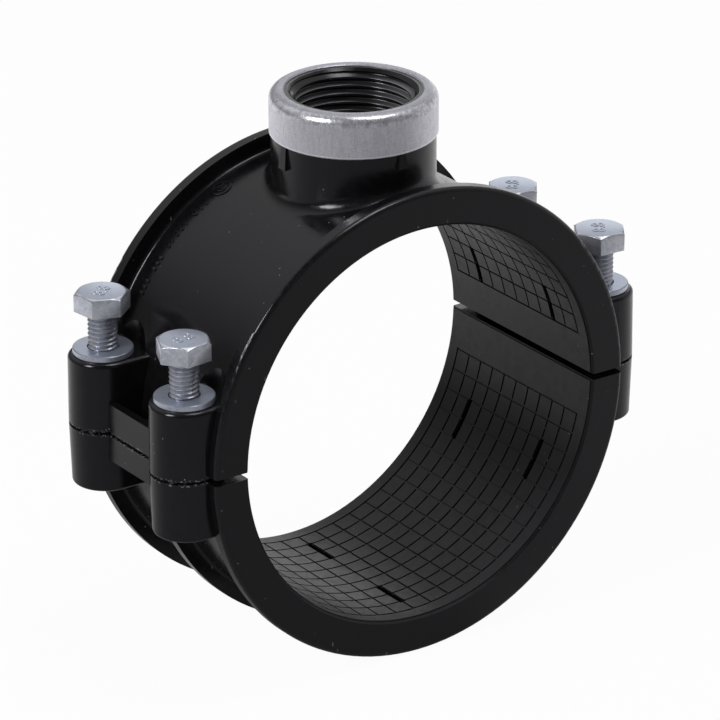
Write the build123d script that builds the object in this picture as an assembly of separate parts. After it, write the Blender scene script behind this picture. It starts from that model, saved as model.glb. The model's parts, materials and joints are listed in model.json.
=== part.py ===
from build123d import *
import math
import os

# Tapping saddle for a 110 mm pipe: two bolted clamp halves and a steel-ringed G 1 outlet.
#
# Frame: the origin is where the pipe's axis crosses the outlet's axis. +Z runs up the outlet,
# the pipe runs along Y, and the bolt lugs stand at each side along X. Sizes are in millimetres.

# Pipe bore and clamp shell
pipe_diameter = 110.0
body_length = 64.0  # along the pipe
wall_thickness = 5.5
flange_height = 10.0  # from the bore to the flange's rim
flange_width = 4.0
flange_corner = 1.4
flange_root = 1.0
bore_edge = 0.5
slot_width = 1.4  # grip slots in the bore
slot_depth = 1.2
slot_length = 11.8
slot_place = 16.4  # along the pipe, from the middle
upper_slot_angle = 18.3  # degrees from the split to a slot's middle
lower_slot_angle = 30.2
split_gap = 1.8  # between the two shells, which meet only at their lugs
split_corner = 0.3  # chamfer where the bore meets the split
belly_rib_width = 3.0  # the one rib round the lower shell

# Bolt lugs
bolt_span = 132.0  # between the bolt axes across the pipe
bolt_inset = 12.6  # from each end of the body to its bolts' axes
lug_diameter = 18.8
upper_lug_height = 19.3
lower_lug_height = 17.0
upper_lug_draft = 0.3  # degrees
lower_lug_draft = 2.0  # degrees
upper_lug_rim = 1.2
lower_lug_rim = 1.0
parting_recess = 0.4  # step round each lug's meeting face
parting_inset = 1.2
spot_clearance = 1.6  # beyond the lug, where the shell is cut back for the washer

# Webs that join each pair of lugs
web_thickness = 2.4
web_outset = 4.1  # from the bolt axis to the web's outer face
upper_web_height = 8.5
lower_web_height = 7.4
web_gap = 1.0  # between the two webs

# M8 fasteners
bolt_diameter = 7.9  # over the thread
bolt_length = 45.0  # under the head
bolt_head_flats = 13.0
bolt_head_height = 5.3
bolt_tip_chamfer = 0.8
head_chamfer_angle = 30.0
head_flat = 12.35  # round flat on top of the head, inside its chamfer
bolt_stand_off = 10.2  # between each head and its washer, as delivered
bolt_turns = {"front_left": 6.0, "rear_left": 38.0, "front_right": 57.0, "rear_right": 54.0}
bolt_hole = 9.0
washer_diameter = 16.0
washer_hole = 8.4
washer_thickness = 1.6
washer_edge = 0.2
nut_flats = 13.0
nut_height = 6.8
nut_thread_clearance = 0.05  # on the radius, round the bolt
nut_pocket_clearance = 0.1  # at each flat
nut_recess = 0.2  # from the nut's face to the lug's underside

# Outlet boss
boss_diameter = 43.2
boss_fillet = 3.6
boss_fillet_margin = 0.3  # least band left between the fillet and a flange's root
ring_seat_height = 72.3  # from the pipe's axis to the shoulder below the steel ring
boss_rib_width = 1.9  # at the top, below the ring's seat
boss_rib_flare = 0.6  # wider on each side at the bottom
boss_rib_heights = {"side": 5.9, "end": 3.7}
boss_rib_depth = 0.4
boss_rib_slope = 0.7  # deeper at the bottom

# Steel reinforcing ring
ring_diameter = 44.2
ring_height = 11.7
ring_wall = 1.5
ring_opening = 36.2
ring_shoulder = 2.6
ring_edge = 0.3
ring_clearance = 0.05

# Female thread G 1 and the way down to the pipe
thread_diameter = 33.25
thread_floor = 7.45  # from the pipe's bore to the thread's last turn
thread_mouth = 0.4
collar_recess = 0.45  # from the ring's top down to the plastic collar inside its opening
passage_diameter = 26.0
passage_edge = 0.8

# Sealing ring round the passage, in the upper shell's bore
gasket_inner = 33.0
gasket_outer = 42.0
gasket_depth = 3.0
gasket_clearance = 0.05

# Working values
near = 0.01  # tolerance when edges are picked by their place
overshoot = 1.0  # how far a cut runs past the face that it leaves

# Worked out from the sizes above
bore_radius = pipe_diameter / 2
band_radius = bore_radius + wall_thickness
flange_radius = bore_radius + flange_height
half_length = body_length / 2
bolt_x = bolt_span / 2
bolt_y = half_length - bolt_inset
lug_radius = lug_diameter / 2
washer_top = upper_lug_height + washer_thickness
ring_top = ring_seat_height + ring_height
neck_radius = ring_diameter / 2 - ring_wall - ring_clearance
neck_top = ring_top - ring_wall - ring_clearance
collar_radius = ring_opening / 2 - ring_clearance
collar_top = ring_top - collar_recess
nut_seat = lower_lug_height - nut_recess - nut_height
sides = {"left": -1, "right": 1}
ends = {"front": -1, "rear": 1}
corners = {f"{end}_{side}": (sides[side] * bolt_x, ends[end] * bolt_y)
           for side in sides for end in ends}
UP = (Align.CENTER, Align.CENTER, Align.MIN)


def upright(radius, bottom, top, x=0.0, y=0.0):
    """Cylinder along Z between two heights."""
    return Pos(x, y, bottom) * Cylinder(radius, top - bottom, align=UP)


def along_pipe(radius, length=2 * body_length):
    """Cylinder on the pipe's axis."""
    return Rot(90, 0, 0) * Cylinder(radius, length)


def hexagon(flats, height):
    """Upright hexagonal prism that stands on the XY plane."""
    return extrude(RegularPolygon(flats / 2, 6, major_radius=False), height)


def block(x_from, x_to, width, bottom, top):
    """Box centred on the pipe's middle plane, on one side of the pipe."""
    size = (abs(x_to - x_from), width, top - bottom)
    return Pos((x_from + x_to) / 2, 0, bottom) * Box(*size, align=UP)


# --- Clamp shells, each drawn above the split -------------------------------------------------


def shell_section(rib_width):
    """Section through the wall, as radius against length."""
    def bar(outer, width, place):
        return Pos((bore_radius + outer) / 2, place) * Rectangle(outer - bore_radius, width)

    section = bar(band_radius, body_length, 0)
    for end in ends.values():
        section += bar(flange_radius, flange_width, end * (half_length - flange_width / 2))
    if rib_width:
        section += bar(flange_radius, rib_width, 0)
    points = section.vertices()
    rims = [p for p in points if p.X > flange_radius - near and abs(p.Y) > half_length - near]
    section = fillet(rims, flange_corner)
    roots = [p for p in section.vertices()
             if abs(p.X - band_radius) < near and abs(p.Y) < half_length - near]
    section = fillet(roots, flange_root)
    mouths = [p for p in section.vertices() if abs(p.X - bore_radius) < near]
    return chamfer(mouths, bore_edge)


def half_shell(rib_width):
    """Shell from the split up."""
    ring = revolve(shell_section(rib_width), Axis.Y)
    height = 2 * flange_radius
    return ring & Pos(0, 0, split_gap / 2) * Box(height, 2 * body_length, height, align=UP)


def split_cut():
    """What is taken out between the halves: the bore, the gap and the chamfers at its mouths."""
    cut = along_pipe(bore_radius) + Box(2 * band_radius, 2 * body_length, split_gap)
    reach = split_corner * math.sqrt(2)
    for side in sides.values():
        mouth = Pos(side * bore_radius, 0, split_gap / 2) * Rot(0, 45, 0)
        cut += mouth * Box(reach, 2 * body_length, reach)
    return cut


def grip_slots(angle):
    """Slots across the pipe in one half's bore, at an angle up from the split on each side."""
    slot = Pos(bore_radius, 0, 0) * Box(2 * slot_depth, slot_width, slot_length)
    slots = Part()
    for place in (-slot_place, slot_place):
        for turn in (-angle, angle - 180):
            slots += Rot(0, turn, 0) * Pos(0, place, 0) * slot
    return slots


def lug(x, y, height, draft, rim):
    """Bolt lug: a round post whose flat flanks run back into the shell."""
    inward = -math.copysign(1, x)
    root = abs(x) - math.sqrt(bore_radius**2 - height**2)  # back to the bore's wall
    plan = Pos(x, y) * Circle(lug_radius)
    plan += Pos(x + inward * root / 2, y) * Rectangle(root, lug_diameter)
    post = Pos(0, 0, parting_recess) * extrude(plan, height - parting_recess, taper=draft)
    post = fillet(post.faces().sort_by(Axis.Z)[-1].edges(), rim)
    return post + extrude(offset(plan, -parting_inset), parting_recess)


def clamp_half(lug_height, draft, rim, web_height, rib_width=0.0):
    """One half of the clamp: its shell, four lugs and two webs."""
    half = half_shell(rib_width)
    for x, y in corners.values():
        half += lug(x, y, lug_height, draft, rim)
    for side in sides.values():
        outer = side * (bolt_x + web_outset)
        inner = outer - side * web_thickness
        half += block(outer, inner, 2 * bolt_y, web_gap / 2, web_height)
    half -= split_cut()
    for x, y in corners.values():
        half -= upright(bolt_hole / 2, -overshoot, lug_height + overshoot, x, y)
    return half


def outlet_boss():
    """Boss outside, with the neck and the collar that the steel ring is pressed over."""
    boss = upright(boss_diameter / 2, bore_radius, ring_seat_height)
    boss += upright(neck_radius, ring_seat_height, neck_top)
    return boss + upright(collar_radius, neck_top, collar_top)


def boss_rib(height):
    """Small rib on the boss towards +X, deeper and wider at its bottom."""
    inner = boss_diameter / 2 - 2 * boss_rib_depth
    outer = boss_diameter / 2 + boss_rib_depth
    width = boss_rib_width / 2
    foot = Plane.XY.offset(ring_seat_height - height)
    head = Plane.XY.offset(ring_seat_height)
    deep = outer + boss_rib_slope
    wide = width + boss_rib_flare
    lower = foot * Polygon((inner, -wide), (deep, -wide), (deep, wide), (inner, wide), align=None)
    upper = head * Polygon((inner, -width), (outer, -width), (outer, width), (inner, width),
                           align=None)
    return loft([lower.face(), upper.face()])


def boss_ribs():
    """Four ribs below the ring's seat."""
    side = boss_rib(boss_rib_heights["side"])
    end = Rot(0, 0, 90) * boss_rib(boss_rib_heights["end"])
    return side + end + Rot(0, 0, 180) * (side + end)


def boss_foot(half):
    """Edges where the boss meets the outside of the shell."""
    feet = []
    for edge in half.edges():
        middle = edge @ 0.5
        on_boss = abs(math.hypot(middle.X, middle.Y) - boss_diameter / 2) < near
        on_band = abs(math.hypot(middle.X, middle.Z) - band_radius) < near
        if on_boss and on_band:
            feet.append(edge)
    return feet


def outlet_hole():
    """Everything that is cut down the outlet: mouth, thread bore and passage."""
    thread_radius = thread_diameter / 2
    thread_bottom = bore_radius + thread_floor
    hole = upright(thread_radius, thread_bottom, collar_top)
    mouth = Pos(0, 0, collar_top - thread_mouth) * Cone(
        thread_radius, thread_radius + thread_mouth, thread_mouth, align=UP)
    passage_radius = passage_diameter / 2
    lead = Pos(0, 0, thread_bottom - passage_edge) * Cone(
        passage_radius, passage_radius + passage_edge, passage_edge, align=UP)
    return hole + mouth + lead + upright(passage_radius, 0, thread_bottom)


def gasket_ring(play):
    """Ring round the passage between the bore and its groove's floor, smaller by the play."""
    tube = upright(gasket_outer / 2 - play, 0, flange_radius)
    tube -= upright(gasket_inner / 2 + play, 0, flange_radius)
    return tube & along_pipe(bore_radius + gasket_depth - play)


def make_upper_saddle():
    half = clamp_half(upper_lug_height, upper_lug_draft, upper_lug_rim, upper_web_height)
    spot_radius = lug_radius + spot_clearance
    for x, y in corners.values():
        half -= upright(spot_radius, upper_lug_height, flange_radius, x, y)
    half += outlet_boss()
    room = half_length - flange_width - flange_root - boss_diameter / 2 - boss_fillet_margin
    half = fillet(boss_foot(half), min(boss_fillet, room))
    half += boss_ribs()
    half -= grip_slots(upper_slot_angle)
    return half - outlet_hole() - along_pipe(bore_radius) - gasket_ring(0)


def make_lower_saddle():
    half = clamp_half(lower_lug_height, lower_lug_draft, lower_lug_rim, lower_web_height,
                      belly_rib_width)
    half -= grip_slots(lower_slot_angle)
    for place in (-slot_place, slot_place):
        half -= Pos(0, place, bore_radius) * Box(slot_width, slot_length, 2 * slot_depth)
    pocket = hexagon(nut_flats + 2 * nut_pocket_clearance, lower_lug_height)
    for x, y in corners.values():
        half -= Pos(x, y, nut_seat) * pocket
    return mirror(half, about=Plane.XY)


# --- Ring, seal and fasteners -------------------------------------------------------------------


def make_reinforcing_ring():
    """Steel ring: a side wall with its top turned in over the boss."""
    outer = ring_diameter / 2
    wall = Pos(outer - ring_wall / 2, ring_seat_height + ring_height / 2)
    section = wall * Rectangle(ring_wall, ring_height)
    lip = outer - ring_opening / 2
    section += Pos(outer - lip / 2, ring_top - ring_wall / 2) * Rectangle(lip, ring_wall)
    shoulder = [p for p in section.vertices() if p.X > outer - near and p.Y > ring_top - near]
    section = fillet(shoulder, ring_shoulder)
    edges = [p for p in section.vertices()
             if (p.Y < ring_seat_height + near and p.X > outer - near)
             or p.X < ring_opening / 2 + near]
    section = chamfer(edges, ring_edge)
    return revolve(Plane.XZ * section, Axis.Z)


def make_outlet_gasket():
    return gasket_ring(gasket_clearance) - along_pipe(bore_radius)


def make_bolt(turn):
    """Hexagon bolt with its head's underside on the XY plane."""
    radius = bolt_diameter / 2
    shank = Pos(0, 0, -bolt_length) * Cylinder(radius, bolt_length, align=UP)
    shank = chamfer(shank.faces().sort_by(Axis.Z)[0].edges(), bolt_tip_chamfer)
    head = hexagon(bolt_head_flats, bolt_head_height) & chamfer_cone()
    return Rot(0, 0, turn) * (head + shank)


def chamfer_cone():
    """Round form that takes the corners off a bolt head's top."""
    corner = bolt_head_flats / math.sqrt(3)
    drop = (corner - head_flat / 2) * math.tan(math.radians(head_chamfer_angle))
    cone = Pos(0, 0, bolt_head_height - drop) * Cone(corner, head_flat / 2, drop, align=UP)
    return cone + Cylinder(corner, bolt_head_height - drop, align=UP)


def make_washer():
    washer = Cylinder(washer_diameter / 2, washer_thickness, align=UP)
    washer -= Cylinder(washer_hole / 2, washer_thickness, align=UP)
    rims = [e for e in washer.edges().filter_by(GeomType.CIRCLE)
            if e.radius > washer_diameter / 2 - near]
    return chamfer(rims, washer_edge)


def make_nut():
    bore = bolt_diameter / 2 + nut_thread_clearance
    return hexagon(nut_flats, nut_height) - Cylinder(bore, nut_height, align=UP)


nodes = {
    "upper_saddle": make_upper_saddle(),
    "lower_saddle": make_lower_saddle(),
    "reinforcing_ring": make_reinforcing_ring(),
    "outlet_gasket": make_outlet_gasket(),
}
for place, (x, y) in corners.items():
    head_seat = washer_top + bolt_stand_off
    nodes[f"bolt_{place}"] = Pos(x, y, head_seat) * make_bolt(bolt_turns[place])
    nodes[f"washer_{place}"] = Pos(x, y, upper_lug_height) * make_washer()
    nodes[f"nut_{place}"] = Pos(x, y, -nut_seat - nut_height) * make_nut()

os.makedirs("parts", exist_ok=True)
for name, solid in nodes.items():
    solid.label = name
    export_step(solid, f"parts/{name}.step")
    print(f"{name}: {solid.volume / 1000:.2f} cm3")
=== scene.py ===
"""Tapping saddle: threads, grip pattern, moulded marks, finishes, studio and camera around the solids."""
import bpy
import bmesh
import json
import math
from mathutils import Matrix, Quaternion, Vector


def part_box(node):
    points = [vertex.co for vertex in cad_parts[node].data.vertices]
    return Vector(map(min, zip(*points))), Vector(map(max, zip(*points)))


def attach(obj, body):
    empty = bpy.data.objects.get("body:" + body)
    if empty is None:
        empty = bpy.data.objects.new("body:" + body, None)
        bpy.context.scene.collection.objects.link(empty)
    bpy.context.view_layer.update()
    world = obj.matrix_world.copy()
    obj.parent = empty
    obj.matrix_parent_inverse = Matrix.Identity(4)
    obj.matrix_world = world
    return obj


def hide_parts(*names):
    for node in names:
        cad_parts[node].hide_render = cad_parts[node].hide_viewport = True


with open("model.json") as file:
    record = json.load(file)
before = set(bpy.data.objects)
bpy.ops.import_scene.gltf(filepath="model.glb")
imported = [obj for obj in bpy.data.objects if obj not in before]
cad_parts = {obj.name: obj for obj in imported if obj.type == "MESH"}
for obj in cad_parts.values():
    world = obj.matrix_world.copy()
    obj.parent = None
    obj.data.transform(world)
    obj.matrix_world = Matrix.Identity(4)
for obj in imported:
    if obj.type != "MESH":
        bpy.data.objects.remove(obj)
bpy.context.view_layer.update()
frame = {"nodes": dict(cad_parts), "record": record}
bpy.ops.object.select_all(action="DESELECT")

MM = 0.001
PLACES = ("front_left", "rear_left", "front_right", "rear_right")
lower_body = "clamp_base"
upper_body = "clamp_top"

# Sizes that the solids give
saddle_low, saddle_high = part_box("upper_saddle")
lower_low, lower_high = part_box("lower_saddle")
half_length = saddle_high.y
flange_radius = -lower_low.z
bore_radius = flange_radius - 10 * MM
band_radius = bore_radius + 5.5 * MM
grip_radius = bore_radius - 0.28 * MM

# Standard M8 fastener sizes
FLATS = 13 * MM
HEAD_HEIGHT = 5.3 * MM
BOLT_LENGTH = 45 * MM
BOLT_CREST = 3.95 * MM
BOLT_ROOT = 3.2 * MM
BOLT_PITCH = 1.25 * MM
BOLT_TIP = 0.75 * MM

# G 1 female thread at the outlet
OUTLET_ROOT = 16.6 * MM
OUTLET_CREST = 15.145 * MM
OUTLET_PITCH = 2.309 * MM
OUTLET_SLEEVE = 16.7 * MM

# Grip pattern: a grid of squares in each half, and the long pockets that the solids have too
GRIP_ROWS, GRIP_COLUMNS = 26, 10
GRIP_SPAN = 155.4
GRIP_LENGTH = 54.4 * MM
GRIP_WALL_SPAN = 177.6
GROOVE = 0.56 * MM
POCKET_PLACE = 16.4 * MM
POCKET_LONG, POCKET_WIDE = 11.9 * MM, 1.9 * MM
UPPER_POCKET_ANGLE = 71.7
LOWER_POCKET_ANGLE = 120.2
SEAL_CLEARANCE = 23 * MM

# Moulded marks on the upper band, as angles from straight up
DIAL_ANGLE = -25.5
SIZE_ANGLES = (-31.2, -33.0, -34.9)
COUNT_ANGLES = (-38.4, -40.2, -42.0, -43.8, -45.6)
TALLY_ANGLES = (-49.0, -50.6, -52.2, -55.6, -57.2, -58.8)


# --- Modelling steps ------------------------------------------------------------------------------


def start(add, name, **settings):
    """Adds a primitive, names it and goes into edit mode with nothing selected."""
    bpy.ops.object.select_all(action="DESELECT")
    add(**settings)
    piece = bpy.context.object
    piece.name = name
    bpy.ops.object.mode_set(mode="EDIT")
    bpy.ops.mesh.select_all(action="DESELECT")
    return piece


def finished(piece):
    """Leaves edit mode and puts the piece's place, turn and size into its mesh."""
    if bpy.context.mode != "OBJECT":
        bpy.ops.object.mode_set(mode="OBJECT")
    only(piece)
    bpy.ops.object.transform_apply(location=True, rotation=True, scale=True)
    return piece


def only(piece):
    """Selects one object alone."""
    bpy.ops.object.select_all(action="DESELECT")
    piece.select_set(True)
    bpy.context.view_layer.objects.active = piece


def pick_faces(test):
    """In edit mode, selects the faces whose middle passes the test."""
    bpy.ops.mesh.select_mode(type="FACE")
    bpy.ops.mesh.select_all(action="DESELECT")
    mesh = bmesh.from_edit_mesh(bpy.context.object.data)
    for face in mesh.faces:
        middle = sum((vertex.co for vertex in face.verts), Vector()) / len(face.verts)
        face.select_set(test(middle))
    mesh.select_flush_mode()
    bmesh.update_edit_mesh(bpy.context.object.data)


def draw_line(name, points):
    """A line of edges through the points, drawn from one vertex by extruding."""
    line = start(bpy.ops.mesh.primitive_plane_add, name, size=MM, location=points[0])
    bpy.ops.mesh.select_mode(type="VERT")
    bpy.ops.mesh.select_all(action="SELECT")
    bpy.ops.mesh.merge(type="CENTER")
    for here, there in zip(points, points[1:]):
        step = Vector(there) - Vector(here)
        bpy.ops.mesh.extrude_vertices_move(TRANSFORM_OT_translate={"value": step})
    return finished(line)


def change(piece, kind, **settings):
    """Adds a modifier and applies it."""
    only(piece)
    modifier = piece.modifiers.new(kind.lower(), kind)
    for name, value in settings.items():
        setattr(modifier, name, value)
    bpy.ops.object.modifier_apply(modifier=modifier.name)
    return piece


def combine(piece, other, operation):
    """Boolean of the piece with another, which is then removed."""
    change(piece, "BOOLEAN", object=other, operation=operation, solver="EXACT")
    bpy.data.objects.remove(other)
    return piece


def tidy_mesh(piece, gap=0.001 * MM, fill=False):
    """Merges doubles, closes holes when asked and turns the faces outwards."""
    only(piece)
    bpy.ops.object.mode_set(mode="EDIT")
    bpy.ops.mesh.select_all(action="SELECT")
    bpy.ops.mesh.remove_doubles(threshold=gap)
    if fill:
        bpy.ops.mesh.fill_holes(sides=0)
        bpy.ops.mesh.select_all(action="SELECT")
    bpy.ops.mesh.normals_make_consistent(inside=False)
    bpy.ops.object.mode_set(mode="OBJECT")
    return piece


def join(*pieces):
    """Makes one object of several, which keeps the first one's name."""
    only(pieces[0])
    for piece in pieces[1:]:
        piece.select_set(True)
    bpy.ops.object.join()
    return pieces[0]


def copy_of(piece, name, place=(0, 0, 0), turn=0.0):
    """Copy with its own mesh, turned about the vertical and then moved, with its place in the mesh."""
    twin = piece.copy()
    twin.data = piece.data.copy()
    twin.name = name
    bpy.context.collection.objects.link(twin)
    twin.data.transform(Matrix.Translation(place) @ Matrix.Rotation(math.radians(turn), 4, "Z"))
    return twin


# --- Threads and fasteners --------------------------------------------------------------------------


SHARP_THREAD = ((0.0, 0.0), (0.05, 0.0), (0.45, 1.0), (0.52, 1.0))
ROUND_THREAD = ((0.0, 0.0), (0.08, 0.03), (0.15, 0.12), (0.35, 0.88), (0.42, 0.97), (0.5, 1.0),
                (0.58, 0.97), (0.65, 0.88), (0.85, 0.12), (0.92, 0.03))


def threaded_rod(name, crest, root, pitch, low, high, steps, form=SHARP_THREAD):
    """Solid rod with a screw thread, which runs at least from low to high.

    The form gives, for one turn, shares of the pitch and how far the surface stands out there."""
    turns = math.ceil((high - low) / pitch) + 2
    bottom = low - pitch
    points = [(0, 0, bottom)]
    for turn in range(turns):
        for share, out in form:
            points.append((root + (crest - root) * out, 0, bottom + (turn + share) * pitch))
    top = bottom + turns * pitch
    points += [(root, 0, top), (0, 0, top)]
    rod = draw_line(name, points)
    change(rod, "SCREW", axis="Z", angle=math.tau, screw_offset=pitch, steps=steps,
           render_steps=steps, use_merge_vertices=False, use_smooth_shade=False)
    return tidy_mesh(rod, fill=True)


def round_bar(name, radius, low, high, sides=64):
    bar = start(bpy.ops.mesh.primitive_cylinder_add, name, vertices=sides, radius=radius,
                depth=high - low, location=(0, 0, (low + high) / 2))
    return finished(bar)


def taper_end(piece, high, inset, rise):
    """Chamfers the round or hexagonal end face at a height by an inset that rises."""
    only(piece)
    bpy.ops.object.mode_set(mode="EDIT")
    pick_faces(lambda middle: abs(middle.z - high) < 0.001 * MM)
    bpy.ops.mesh.inset(thickness=inset, depth=rise)
    bpy.ops.object.mode_set(mode="OBJECT")
    return piece


def hex_bar(name, flats, low, high, round_flat, chamfer, both_ends=False):
    """Hexagonal bar whose corners are taken off by a cone at its top, or at both ends."""
    corner = flats / math.sqrt(3)
    bar = start(bpy.ops.mesh.primitive_cylinder_add, name, vertices=6, radius=corner,
                depth=high - low, location=(0, 0, (low + high) / 2), rotation=(0, 0, math.radians(30)))
    finished(bar)
    inset = corner * 1.002 - round_flat / 2
    rise = inset * math.tan(math.radians(chamfer))
    foot = low + rise if both_ends else low - 0.5 * MM
    form = round_bar("chamfer_form", corner * 1.002, foot, high - rise, sides=96)
    taper_end(form, high - rise, inset * 1.2, rise * 1.2)
    if both_ends:
        taper_end(form, foot, inset * 1.2, rise * 1.2)
    return combine(bar, form, "INTERSECT")


def numerals(words, size, height):
    """Raised plain numerals that lie on the level and rise by a height."""
    bpy.ops.object.select_all(action="DESELECT")
    bpy.ops.object.text_add()
    text = bpy.context.object
    text.data.body = words
    text.data.size = size
    text.data.extrude = height
    text.data.align_x = "CENTER"
    text.data.align_y = "CENTER"
    text.data.resolution_u = 3
    bpy.ops.object.convert(target="MESH")
    return tidy_mesh(finished(text))


def make_bolt():
    """Threaded bolt with its head's underside at height 0."""
    shank = threaded_rod("bolt_thread", BOLT_CREST, BOLT_ROOT, BOLT_PITCH, -BOLT_LENGTH, 0.3 * MM, steps=28)
    blank_low = BOLT_TIP - BOLT_LENGTH
    blank = round_bar("bolt_blank", BOLT_CREST + 0.02 * MM, blank_low, 0.2 * MM, sides=56)
    taper_end(blank, blank_low, BOLT_TIP, BOLT_TIP)
    combine(shank, blank, "INTERSECT")
    head = hex_bar("bolt_head", FLATS, 0, HEAD_HEIGHT, 12.35 * MM, 30)
    change(head, "BEVEL", width=0.14 * MM, segments=2, limit_method="ANGLE", angle_limit=math.radians(25))
    mark = numerals("8.8", 5.2 * MM, 0.14 * MM)
    mark.data.transform(Matrix.Translation((0, 0, HEAD_HEIGHT)))
    return join(head, shank, mark)


def make_nut(low, high):
    """Hexagon nut with both ends chamfered and a round bore."""
    nut = hex_bar("nut", FLATS, low, high, 12.2 * MM, 30, both_ends=True)
    bore = round_bar("nut_bore", 3.98 * MM, low - MM, high + MM, sides=40)
    return tidy_mesh(combine(nut, bore, "DIFFERENCE"))


def make_outlet_thread(low, high):
    """Sleeve with the outlet's female thread and the cone that leads into it."""
    sleeve = round_bar("outlet_thread", OUTLET_SLEEVE, low, high, sides=128)
    tap = threaded_rod("thread_tap", OUTLET_ROOT, OUTLET_CREST, OUTLET_PITCH, low, high, steps=96,
                       form=ROUND_THREAD)
    combine(sleeve, tap, "DIFFERENCE")
    cone = round_bar("mouth_cone", OUTLET_CREST, high - (OUTLET_ROOT - OUTLET_CREST), high + MM, sides=96)
    only(cone)
    bpy.ops.object.mode_set(mode="EDIT")
    pick_faces(lambda middle: middle.z > high + 0.9 * MM)
    grow = (OUTLET_ROOT + MM) / OUTLET_CREST
    bpy.ops.transform.resize(value=(grow, grow, 1))
    bpy.ops.object.mode_set(mode="OBJECT")
    return combine(sleeve, cone, "DIFFERENCE")


# --- Grip pattern in the bore -------------------------------------------------------------------------


def bent_bar(name, width, low, high, from_angle, span, steps):
    """Bar of rectangular section that follows the bore, from one angle from straight up, over a span."""
    section = draw_line(name, [(0, -width / 2, low), (0, width / 2, low), (0, width / 2, high),
                               (0, -width / 2, high), (0, -width / 2, low)])
    tidy_mesh(section)
    bpy.ops.object.mode_set(mode="EDIT")
    bpy.ops.mesh.select_all(action="SELECT")
    bpy.ops.mesh.spin(steps=steps, angle=math.radians(span), center=(0, 0, 0), axis=(0, 1, 0))
    bpy.ops.object.mode_set(mode="OBJECT")
    section.data.transform(Matrix.Rotation(math.radians(from_angle + span), 4, "Y"))
    return tidy_mesh(section, fill=True)


def straight_bar(angle, y, across, along, height):
    """Bar along the bore's surface at an angle from straight up."""
    bpy.ops.object.select_all(action="DESELECT")
    bpy.ops.mesh.primitive_cube_add(size=1)
    bar = bpy.context.object
    bar.scale = (across, along, height)
    finished(bar)
    bar.data.transform(Matrix.Translation((0, y, bore_radius - 0.37 * MM)))
    bar.data.transform(Matrix.Rotation(math.radians(angle), 4, "Y"))
    return bar


def make_grip(name, middle_angle, pocket_angle):
    """Thin wall sunk into the bore, with grooves that part it into squares, and the pockets cut through."""
    reach = 1.4 * MM
    wall = bent_bar(name, 2 * half_length - 1.6 * MM, grip_radius, bore_radius + 0.5 * MM,
                    middle_angle - GRIP_WALL_SPAN / 2, GRIP_WALL_SPAN, 96)
    change(wall, "BEVEL", width=0.12 * MM, segments=1, limit_method="ANGLE", angle_limit=math.radians(40))
    first = middle_angle - GRIP_SPAN / 2
    rings = [bent_bar("groove", GROOVE, bore_radius - reach, bore_radius + reach,
                      first - 0.16, GRIP_SPAN + 0.32, 78)]
    rings[0].data.transform(Matrix.Translation((0, -GRIP_LENGTH / 2, 0)))
    for column in range(1, GRIP_COLUMNS + 1):
        rings.append(copy_of(rings[0], "groove", (0, column * GRIP_LENGTH / GRIP_COLUMNS, 0)))
    combine(wall, join(*rings), "DIFFERENCE")
    lines = [straight_bar(first + GRIP_SPAN * row / GRIP_ROWS, 0, GROOVE, GRIP_LENGTH + GROOVE, reach)
             for row in range(GRIP_ROWS + 1)]
    combine(wall, join(*lines), "DIFFERENCE")
    pockets = [straight_bar(side * pocket_angle, end * POCKET_PLACE, POCKET_LONG, POCKET_WIDE, 3 * MM)
               for side in (-1, 1) for end in (-1, 1)]
    if middle_angle > 90:
        pockets += [straight_bar(180, end * POCKET_PLACE, POCKET_WIDE, POCKET_LONG, 3 * MM) for end in (-1, 1)]
    return combine(wall, join(*pockets), "DIFFERENCE")


def clear_seal(grip):
    """Leaves the pattern out over the seal."""
    clearance = round_bar("seal_clearance", SEAL_CLEARANCE, 0, 2 * bore_radius, sides=72)
    return combine(grip, clearance, "DIFFERENCE")


# --- Moulded marks ----------------------------------------------------------------------------------


def on_band(piece, angle, y, turn=0.0):
    """Moves a piece from the level to the band's outside, at an angle from straight up."""
    piece.data.transform(Matrix.Rotation(math.radians(turn), 4, "Z"))
    piece.data.transform(Matrix.Translation((0, y, band_radius)))
    piece.data.transform(Matrix.Rotation(math.radians(angle), 4, "Y"))
    return piece


def raised_ring(name, outside, inside, height):
    """Flat ring with a rounded rim, half sunk."""
    ring = round_bar(name, outside, -height, height, sides=48)
    combine(ring, round_bar("ring_hole", inside, -2 * height, 2 * height, sides=48), "DIFFERENCE")
    return change(ring, "BEVEL", width=height * 0.4, segments=2, limit_method="ANGLE",
                  angle_limit=math.radians(40))


def raised_bar(name, across, along, height):
    """Low bar with rounded edges, half sunk."""
    bpy.ops.object.select_all(action="DESELECT")
    bpy.ops.mesh.primitive_cube_add(size=1)
    bar = bpy.context.object
    bar.name = name
    bar.scale = (across, along, 2 * height)
    finished(bar)
    return change(bar, "BEVEL", width=height * 0.4, segments=2)


def make_band_marks():
    """Dial and a strip of plain numerals and tallies along the rear flange of the upper half."""
    row, rise = 23.3 * MM, 0.3 * MM
    marks = [on_band(raised_ring("band_marks", 2.9 * MM, 2.3 * MM, rise), DIAL_ANGLE, row),
             on_band(raised_ring("dial_hub", 1.45 * MM, 0.9 * MM, rise), DIAL_ANGLE, row),
             on_band(raised_bar("dial_arrow", 0.35 * MM, 1.7 * MM, rise), DIAL_ANGLE, row, 30)]
    for signs, size, angles in (("110", 3.2 * MM, SIZE_ANGLES), ("12345", 2.6 * MM, COUNT_ANGLES)):
        for sign, angle in zip(signs, angles):
            marks.append(on_band(numerals(sign, size, 0.28 * MM), angle, 23 * MM, 180))
    for angle in TALLY_ANGLES:
        marks.append(on_band(raised_bar("tally", 0.95 * MM, 2.9 * MM, 0.34 * MM), angle, 23.2 * MM))
    return join(*marks)


# --- Shader maths -------------------------------------------------------------------------------


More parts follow.
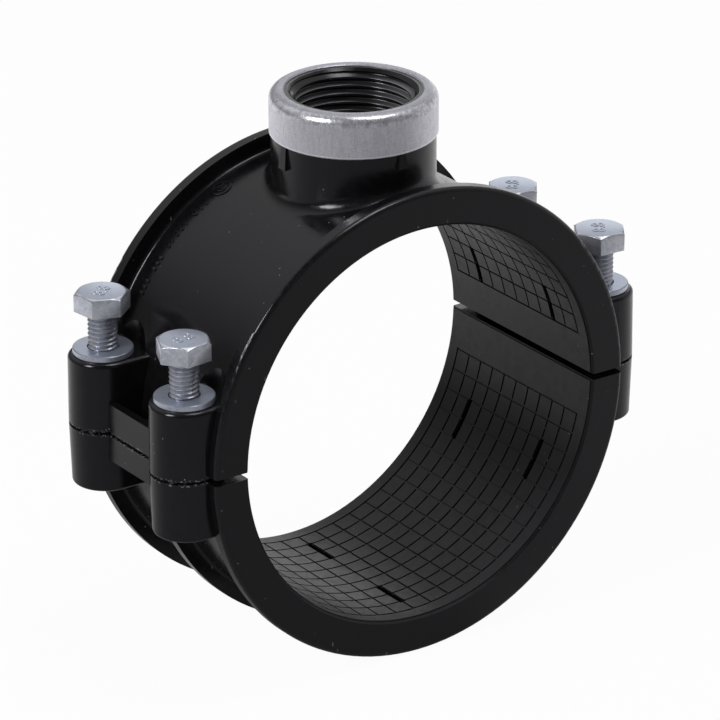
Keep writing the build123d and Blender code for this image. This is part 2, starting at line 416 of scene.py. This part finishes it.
class Socket:
    """An output of a shader node, so that patterns are written as expressions."""

    def __init__(self, shader, output):
        self.shader = shader
        self.output = output

    def maths(self, operation, *others):
        inputs = dict(enumerate((self, *others)))
        return self.shader.node("Math", {"operation": operation}, inputs)

    def __add__(self, other):
        return self.maths("ADD", other)

    def __sub__(self, other):
        return self.maths("SUBTRACT", other)

    def __mul__(self, other):
        return self.maths("MULTIPLY", other)

    def __rsub__(self, other):
        return self * -1 + other

    __radd__ = __add__
    __rmul__ = __mul__

    def size(self):
        return self.maths("ABSOLUTE")

    def least(self, other):
        return self.maths("MINIMUM", other)

    def most(self, other):
        return self.maths("MAXIMUM", other)

    def rise(self, low, high):
        """0 below low and 1 above high, or the other way round where low is the larger."""
        swap = low > high
        settings = {"interpolation_type": "SMOOTHSTEP"}
        inputs = {"Value": self, "From Min": min(low, high), "From Max": max(low, high)}
        ramp = self.shader.node("MapRange", settings, inputs)
        return 1 - ramp if swap else ramp


class Nodes:
    """Makes and links the nodes of one tree."""

    def __init__(self, tree):
        self.tree = tree

    def node(self, kind, settings=None, inputs=None, output=0):
        made = self.tree.nodes.new("ShaderNode" + kind)
        for name, value in (settings or {}).items():
            setattr(made, name, value)
        for name, value in (inputs or {}).items():
            self.feed(made.inputs[name], value)
        return Socket(self, made.outputs[output])

    def feed(self, socket, value):
        if isinstance(value, Socket):
            self.tree.links.new(value.output, socket)
        else:
            socket.default_value = value

    def place(self, kind="Object"):
        """One kind of coordinate, as the Texture Coordinate node names it."""
        return self.node("TexCoord", output=kind)

    def axes(self, place):
        split = self.node("SeparateXYZ", inputs={0: place})
        outputs = split.output.node.outputs
        return tuple(Socket(self, outputs[axis]) for axis in "XYZ")

    def level(self, place):
        """The place with its height taken out."""
        return self.node("VectorMath", {"operation": "MULTIPLY"}, {0: place, 1: (1, 1, 0)})

    def length(self, place):
        return self.node("VectorMath", {"operation": "LENGTH"}, {0: place}, output=1)

    def heading(self, place):
        """The place's direction."""
        return self.node("VectorMath", {"operation": "NORMALIZE"}, {0: place})

    def along(self, place, way):
        """How far a place or direction reaches along a way."""
        return self.node("VectorMath", {"operation": "DOT_PRODUCT"}, {0: place, 1: way}, output=1)


class Shader(Nodes):
    """A material whose surface is one Principled shader."""

    def __init__(self, name):
        self.material = bpy.data.materials.new(name)
        self.material.use_nodes = True
        super().__init__(self.material.node_tree)
        self.surface = self.tree.nodes["Principled BSDF"]
        self.here = self.place()

    def finish(self, **values):
        """Sets the Principled shader's sockets, named with underscores for spaces."""
        for name, value in values.items():
            self.feed(self.surface.inputs[name.replace("_", " ")], value)
        return self.material

    def scaled(self, scale):
        """The object's place, scaled along each axis when asked."""
        if scale == (1, 1, 1):
            return self.here
        return self.node("Mapping", inputs={"Vector": self.here, "Scale": scale})

    def noise(self, size, detail=3.0, roughness=0.5, scale=(1, 1, 1), distortion=0.0):
        """Cloudy pattern from 0 to 1 whose features are about size metres across."""
        inputs = {"Vector": self.scaled(scale), "Scale": 1 / size, "Detail": detail,
                  "Roughness": roughness, "Distortion": distortion}
        return self.node("TexNoise", inputs=inputs)

    def cells(self, size, scale=(1, 1, 1)):
        """Distance from scattered points about size metres apart."""
        return self.node("TexVoronoi", inputs={"Vector": self.scaled(scale), "Scale": 1 / size},
                         output="Distance")

    def blend(self, first, second, share):
        """Colour between two colours."""
        inputs = {0: share, 6: first, 7: second}
        return self.node("Mix", {"data_type": "RGBA"}, inputs, output=2)

    def bump(self, height, distance, normal=None):
        inputs = {"Height": height, "Distance": distance}
        if normal:
            inputs["Normal"] = normal
        return self.node("Bump", inputs=inputs)


def grey(value, alpha=1.0):
    return (value, value, value, alpha)


# --- Finishes -------------------------------------------------------------------------------------


def dust(s):
    """Scattered light specks and short scuffs, from 0 to 1."""
    gate = s.noise(5 * MM, detail=1).rise(0.54, 0.66)
    specks = s.cells(2.6 * MM).rise(0.085, 0.05) * gate
    scuffs = s.cells(3.4 * MM, scale=(1, 1, 0.3)).rise(0.07, 0.04)
    scuffs = scuffs * s.noise(8 * MM, detail=0).rise(0.52, 0.6)
    return specks.most(scuffs * 0.6)


def parting_burrs(s, radius, height):
    """Broken light burrs where the lugs and webs of the two halves meet, from 0 to 1."""
    seam = height.size().rise(1.05 * MM, 0.8 * MM)
    outside = radius.rise(flange_radius + 0.2 * MM, flange_radius + 0.6 * MM)
    broken = s.noise(0.8 * MM, detail=2, roughness=0.7).rise(0.54, 0.62)
    return seam * outside * broken


def painted_thread_highlight(s, outlet_radius, height):
    """Painted highlights: light lines where the outlet's thread turns from its flanks to its crests and roots,
    stronger where the surface faces sideways from the camera, from 0 to 1.
    """
    turned = s.place("Normal")
    slope = s.axes(turned)[2]
    # Painted highlight where the thread's shading normal turns between flank and crest or root
    lines = slope.rise(0.35, 0.5) * slope.rise(0.85, 0.75)
    lines = lines * (s.along(turned, (away.y, -away.x, 0)).size().rise(0.1, 0.5) * 0.8 + 0.2)
    inside = outlet_radius.rise(16.9 * MM, 16.6 * MM)
    above = height.rise(bore_radius + 7 * MM, bore_radius + 8 * MM)
    below = height.rise(saddle_high.z - 1.7 * MM, saddle_high.z - 2.3 * MM)
    return lines * inside * above * below


def moulded_plastic():
    """Black polypropylene: glossy outside, satin on the end faces and in the bore, with dust and burrs, and
    painted highlights along the outlet thread's turns.
    """
    s = Shader("black_polypropylene")
    x, y, z = s.axes(s.here)
    radius = (x * x + z * z).maths("SQRT")
    outlet_radius = (x * x + y * y).maths("SQRT")
    end_face = y.size().rise(half_length - 0.5 * MM, half_length - 0.1 * MM)
    bore = radius.rise(bore_radius + 0.4 * MM, bore_radius + 0.1 * MM)
    satin = end_face.most(bore)
    cloud = s.noise(9 * MM, detail=4)
    smears = s.noise(2.2 * MM, detail=5, roughness=0.65, distortion=0.6)
    grain = s.noise(0.35 * MM, detail=2)
    white = dust(s).most(parting_burrs(s, radius, z) * 0.6)
    colour = s.blend((0.0025, 0.0025, 0.003, 1), (0.007, 0.007, 0.0078, 1), smears)
    colour = s.blend(colour, (0.2, 0.2, 0.205, 1), white)
    # Painted highlight: light lines on the outlet thread's turns, set by which way the surface faces
    colour = s.blend(colour, (0.2, 0.2, 0.21, 1), painted_thread_highlight(s, outlet_radius, z))
    roughness = 0.13 + satin * 0.19 + cloud * 0.08 + smears.rise(0.35, 0.75) * 0.1 + white * 0.2
    normal = s.bump(grain, 0.004 * MM, normal=s.bump(smears, 0.012 * MM))
    return s.finish(Base_Color=colour, Roughness=roughness, Normal=normal, Specular_IOR_Level=0.5,
                    Specular_Tint=(0.95, 0.93, 1.0, 1))


def zinc_ring():
    """Plated steel: satin top, mottled shoulder and a side with fine scratches, and a painted highlight along
    the lower edge.
    """
    s = Shader("zinc_plated_ring")
    z = s.axes(s.here)[2]
    ring_low, ring_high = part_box("reinforcing_ring")
    top = z.rise(ring_high.z - 0.5 * MM, ring_high.z - 0.15 * MM)
    side = z.rise(ring_high.z - 2.6 * MM, ring_high.z - 3.4 * MM)
    # Mask of the painted highlight along the ring's lower edge
    foot = z.rise(ring_low.z + 0.9 * MM, ring_low.z + 0.5 * MM)
    cloud = s.noise(5 * MM, detail=4)
    speckle = s.noise(0.45 * MM, detail=3, roughness=0.7)
    mottle = s.noise(1.6 * MM, detail=3, roughness=0.6, distortion=1.0)
    upright = s.noise(0.5 * MM, detail=4, roughness=0.75, scale=(1, 1, 0.16), distortion=1.2)
    scratch = s.noise(0.7 * MM, detail=5, roughness=0.8, scale=(0.5, 0.5, 1), distortion=2.5)
    marks = (upright.rise(0.38, 0.7) * 0.35 + scratch.rise(0.44, 0.68) * 0.45) * side
    shoulder = (1 - top) * (1 - side)
    dull = (speckle.rise(0.45, 0.7) * 0.5 + cloud * 0.3) * top + mottle.rise(0.4, 0.62) * shoulder * 0.6
    tone = (marks * 0.8 + dull * 0.8 + top * 0.35 + cloud * 0.1).least(1.0)
    colour = s.blend((0.82, 0.81, 0.88, 1), (0.26, 0.26, 0.31, 1), tone)
    # Painted highlight: the lower edge is made nearly white
    colour = s.blend(colour, (0.92, 0.92, 0.95, 1), foot)
    roughness = 0.24 + top * 0.16 + marks * 0.2 + speckle * 0.08
    normal = s.bump(mottle * (1 - top) + speckle * 0.3, 0.03 * MM)
    return s.finish(Base_Color=colour, Roughness=roughness, Metallic=0.74, Normal=normal)


def zinc_fastener(name, dark, light):
    """Bright zinc plating with a little stain and rub, and painted shade on the up-facing faces and on the
    thread flanks.
    """
    s = Shader(name)
    cloud = s.noise(2.2 * MM, detail=5, roughness=0.65, distortion=0.8)
    speckle = s.noise(0.4 * MM, detail=3, roughness=0.7)
    slope = s.axes(s.place("Normal"))[2]
    # Painted shade: up-facing faces keep the darker colour
    top = slope.rise(0.9, 0.97)
    painted_flank_shade = slope.rise(0.4, 0.65) * slope.rise(0.855, 0.82)
    colour = s.blend(dark, light, (cloud.rise(0.3, 0.66) * 0.6 + speckle * 0.6).least(1.0) * (1 - top * 0.8))
    # Painted shade: thread flanks are darkened by which way they face
    colour = s.blend(colour, (0.16, 0.165, 0.19, 1), painted_flank_shade * 0.6)
    roughness = 0.2 + cloud * 0.12 + speckle * 0.08
    normal = s.bump(speckle, 0.012 * MM)
    return s.finish(Base_Color=colour, Roughness=roughness, Metallic=0.76, Normal=normal)


def black_rubber():
    s = Shader("black_rubber")
    grain = s.noise(0.5 * MM)
    return s.finish(Base_Color=grey(0.012), Roughness=0.6 + grain * 0.1)


# --- Studio ---------------------------------------------------------------------------------------


def look_from(item, place, aim, roll=0.0):
    """Turns a camera or lamp to look from one point at another."""
    item.location = place
    turn = (aim - place).to_track_quat("-Z", "Y") @ Quaternion((0, 0, 1), math.radians(roll))
    item.rotation_mode = "QUATERNION"
    item.rotation_quaternion = turn


def add_camera():
    azimuth = math.radians(-34.68)
    elevation = math.radians(23.365)
    distance = 1389.8 * MM
    direction = Vector((math.sin(azimuth) * math.cos(elevation),
                        -math.cos(azimuth) * math.cos(elevation), math.sin(elevation)))
    aim = Vector((2.76, 1.38, 6.26)) * MM
    data = bpy.data.cameras.new("camera")
    data.lens = 262.0
    data.sensor_width = 36
    data.clip_start = 0.01
    data.clip_end = 50
    camera = bpy.data.objects.new("camera", data)
    bpy.context.collection.objects.link(camera)
    look_from(camera, direction * distance, aim, roll=-0.158)
    bpy.context.scene.camera = camera
    return direction


class Surroundings(Nodes):
    """The floor's or the world's nodes, which tell reflections from other light."""

    def __init__(self, tree):
        super().__init__(tree)
        self.path = self.node("LightPath")

    def ray(self, kind):
        """1 for rays of one kind, as the Light Path node names it."""
        return Socket(self, self.path.output.node.outputs[kind])


def add_floor():
    """White floor: it looks white, keeps the object's shadow, and in reflections is dimmer near the object
    and towards the camera."""
    bpy.ops.mesh.primitive_plane_add(size=6, location=(0, 0, lower_low.z - 0.05 * MM))
    floor = bpy.context.object
    floor.name = "studio_floor"
    material = bpy.data.materials.new("studio_floor")
    material.use_nodes = True
    tree = material.node_tree
    s = Surroundings(tree)
    surface = tree.nodes["Principled BSDF"]
    surface.inputs["Base Color"].default_value = (0.8, 0.8, 0.8, 1)
    surface.inputs["Roughness"].default_value = 0.9
    place = s.level(s.place())
    far = s.along(s.heading(place), away)
    distance = s.length(place)
    beyond = far.rise(-0.7, 1.1) * (distance.rise(0.09, 0.2) * 0.65 + 0.35)
    close = distance.rise(0.1, 0.04) * far.rise(-0.6, 0.3)
    shown = 0.13 + beyond * 0.82 + close * 0.35
    strength = s.ray("Is Camera Ray") * (1 - shown) + shown
    glow = s.node("Emission", inputs={"Color": (1, 1, 1, 1), "Strength": strength})
    share = s.ray("Is Camera Ray") * 0.96 + s.ray("Is Glossy Ray") * 0.8
    mix = s.node("MixShader", inputs={0: share, 1: Socket(s, surface.outputs[0]), 2: glow})
    s.feed(tree.nodes["Material Output"].inputs[0], mix)
    floor.data.materials.append(material)


def add_world():
    """White behind the object; in reflections a room that is dark on the camera's side, grey above and
    beyond, and light low down on the right."""
    world = bpy.data.worlds.new("studio")
    bpy.context.scene.world = world
    world.use_nodes = True
    tree = world.node_tree
    s = Surroundings(tree)
    background = tree.nodes["Background"]
    background.inputs["Color"].default_value = (1, 1, 1, 1)
    place = s.place("Generated")
    height = s.along(place, (0, 0, 1))
    far = s.along(place, away).rise(-0.45, 0.3)
    right = s.along(place, (1, 0, 0)).rise(0.35, 0.95) * height.rise(0.5, 0.05)
    room = height.rise(0.15, 0.7) * 0.4 + 0.1 + right * 0.5
    shown = (room * far + 0.05) * s.ray("Is Glossy Ray")
    other = (1 - s.ray("Is Glossy Ray")) * 0.35
    s.feed(background.inputs["Strength"], shown + other + s.ray("Is Camera Ray") * 0.65)


def add_lamp(name, place, width, height, power):
    """Rectangular soft lamp that looks at the object's middle."""
    data = bpy.data.lights.new(name, "AREA")
    data.shape = "RECTANGLE"
    data.size = width
    data.size_y = height
    data.energy = power
    lamp = bpy.data.objects.new(name, data)
    bpy.context.collection.objects.link(lamp)
    look_from(lamp, Vector(place), Vector())


# --- Assembly -------------------------------------------------------------------------------------


def place_piece(piece, body, finish, *nodes):
    """Gives a finished piece its body, its finish and the solids that it stands for."""
    piece.data.materials.clear()
    piece.data.materials.append(finishes[finish])
    only(piece)
    bpy.ops.object.shade_smooth_by_angle(angle=math.radians(32))
    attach(piece, body)
    if nodes:
        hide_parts(*nodes)


def middle_of(node):
    low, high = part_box(node)
    return (low + high) / 2


direction = add_camera()
away = -Vector((direction.x, direction.y, 0)).normalized()
add_floor()
add_world()
add_lamp("key_softbox", (-1.2, -0.1, 0.75), 0.36, 0.62, 9)
add_lamp("top_softbox", (0.25, -0.35, 1.5), 0.6, 0.6, 6)
add_lamp("back_softbox", (0.9, 1.05, 0.36), 0.7, 0.5, 1.1)

finishes = {
    "black_plastic": moulded_plastic(),
    "zinc_ring": zinc_ring(),
    "zinc_fastener": zinc_fastener("zinc_plated_screws", (0.46, 0.51, 0.63, 1), (0.9, 0.91, 0.98, 1)),
    "zinc_washer": zinc_fastener("zinc_plated_washers", (0.42, 0.47, 0.58, 1), (0.72, 0.75, 0.86, 1)),
    "black_rubber": black_rubber(),
}
slots = {part["node"]: part["material_slot"] for part in frame["record"]["subparts"]}
for name, node in frame["nodes"].items():
    node.data.materials.clear()
    node.data.materials.append(finishes[slots[name]])

bolt = make_bolt()
bolt_turns = {"front_left": 6, "rear_left": 38, "front_right": 57, "rear_right": 54}
for place in PLACES:
    shaft = middle_of(f"nut_{place}")
    head_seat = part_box(f"bolt_{place}")[1].z - HEAD_HEIGHT
    piece = copy_of(bolt, f"threaded_bolt_{place}", (shaft.x, shaft.y, head_seat), bolt_turns[place])
    place_piece(piece, f"{place}_bolt", "zinc_fastener", f"bolt_{place}")
bpy.data.objects.remove(bolt)

nut_low, nut_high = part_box("nut_front_left")
nut = make_nut(nut_low.z, nut_high.z)
for place in PLACES:
    shaft = middle_of(f"nut_{place}")
    piece = copy_of(nut, f"chamfered_nut_{place}", (shaft.x, shaft.y, 0))
    place_piece(piece, lower_body, "zinc_fastener", f"nut_{place}")
bpy.data.objects.remove(nut)

thread_low = bore_radius + 7.46 * MM
thread_high = saddle_high.z - 0.4 * MM
place_piece(make_outlet_thread(thread_low, thread_high), upper_body, "black_plastic")

place_piece(make_band_marks(), upper_body, "black_plastic")
place_piece(make_grip("lower_grip", 180, LOWER_POCKET_ANGLE), lower_body, "black_plastic")
place_piece(clear_seal(make_grip("upper_grip", 0, UPPER_POCKET_ANGLE)), upper_body, "black_plastic")

bpy.context.scene.view_settings.view_transform = "Standard"
